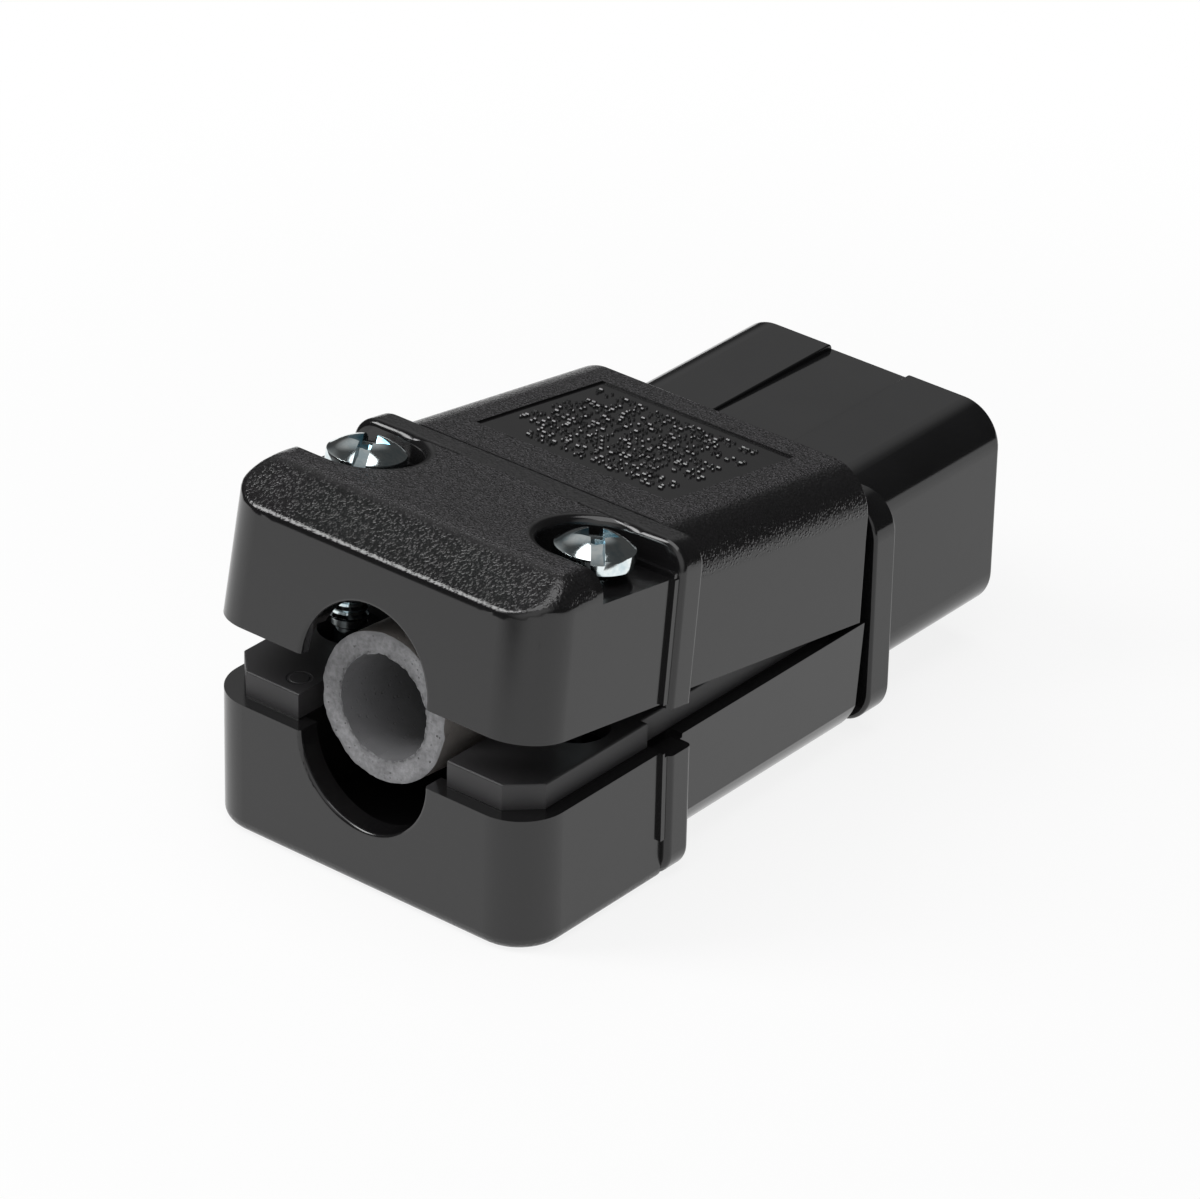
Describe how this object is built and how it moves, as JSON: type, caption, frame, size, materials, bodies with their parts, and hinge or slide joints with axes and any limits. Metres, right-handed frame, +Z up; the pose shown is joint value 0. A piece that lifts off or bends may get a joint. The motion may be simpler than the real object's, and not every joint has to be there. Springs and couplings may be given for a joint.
{
  "type": "rewireable power connector",
  "caption": "Rewireable appliance power connector with a rectangular socket nose, two screwed half shells and a cable bush, shown with its cover lifted.",
  "frame": {"origin": "under the middle of the body's length and width, on the face that the connector lies on", "axes": "+X across the width, +Y out of the nose, +Z up through the cover"},
  "size_m": [0.0378, 0.0698, 0.0337],
  "materials": {
    "shell": "fine grain",
    "carrier": "gloss",
    "bush": "cut, dull",
    "zinc": "zinc plated",
    "brass": "plain"
  },
  "bodies": {
    "base": {"base_shell": "shell", "contact_carrier": "carrier", "back_plate": "carrier", "cord_grip_bar": "carrier", "line_contact": "brass", "neutral_contact": "brass", "earth_contact": "brass", "line_terminal_screw": "zinc", "neutral_terminal_screw": "zinc", "earth_terminal_screw": "zinc", "line_pressure_plate": "zinc", "neutral_pressure_plate": "zinc", "earth_pressure_plate": "zinc", "screw_nut_right": "brass", "screw_nut_left": "brass", "grip_screw_right": "zinc", "grip_screw_left": "zinc"},
    "cover": {"top_cover": "shell", "cover_screw_right": "zinc", "cover_screw_left": "zinc"},
    "bush": {"cable_bush": "bush"}
  },
  "joints": [
    {"name": "cover_hinge", "type": "hinge", "parent": "base", "child": "cover", "pos_m": [0, 0.01255, 0.0163], "axis": [1, 0, 0], "range_deg": [0, 8.9]},
    {"name": "bush_hinge", "type": "hinge", "parent": "base", "child": "bush", "pos_m": [0, 0.01255, 0.0163], "axis": [1, 0, 0], "range_deg": [0, 4.9]}
  ],
  "couplings": [
    {"joint": "bush_hinge", "follows": "cover_hinge", "ratio": 0.55}
  ]
}
